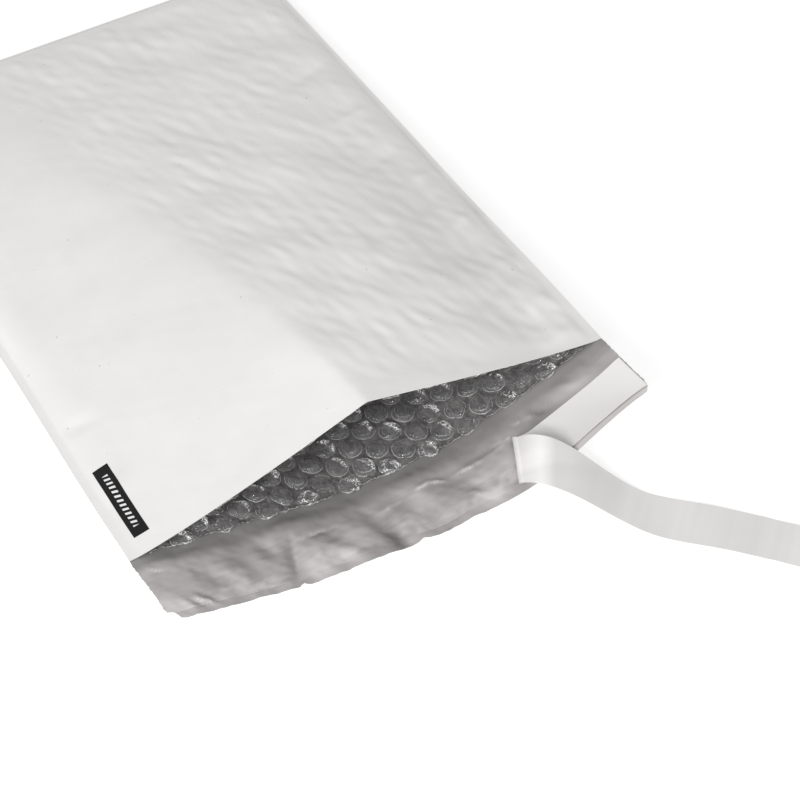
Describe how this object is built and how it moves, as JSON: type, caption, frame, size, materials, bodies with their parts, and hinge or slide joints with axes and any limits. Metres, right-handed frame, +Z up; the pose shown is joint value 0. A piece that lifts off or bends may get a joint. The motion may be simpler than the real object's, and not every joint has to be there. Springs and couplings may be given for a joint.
{
  "type": "bubble mailer",
  "caption": "Flat padded mailing bag of white film lined with bubble sheet, mouth standing open, flap with adhesive band and half-peeled paper liner.",
  "frame": {"origin": "on the table under the middle of the back panel, halfway between the mouth and the closed end", "axes": "+Z up out of the front panel, +Y from the mouth to the closed end, +X to the right seen from the mouth"},
  "size_m": [0.2658, 0.4501, 0.05],
  "materials": {
    "white_film": "satin white polyethylene film, grey on its inner face",
    "bubble_film": "clear glossy bubble film over the grey inner face",
    "adhesive": "glossy hot-melt adhesive",
    "liner_paper": "matt white silicone-coated paper",
    "black_print": "black ink on the film"
  },
  "bodies": {
    "root": {"outer_film": "white_film", "bubble_lining": "bubble_film", "adhesive_strip": "adhesive", "release_liner": "liner_paper", "printed_bar": "black_print"}
  },
  "joints": []
}
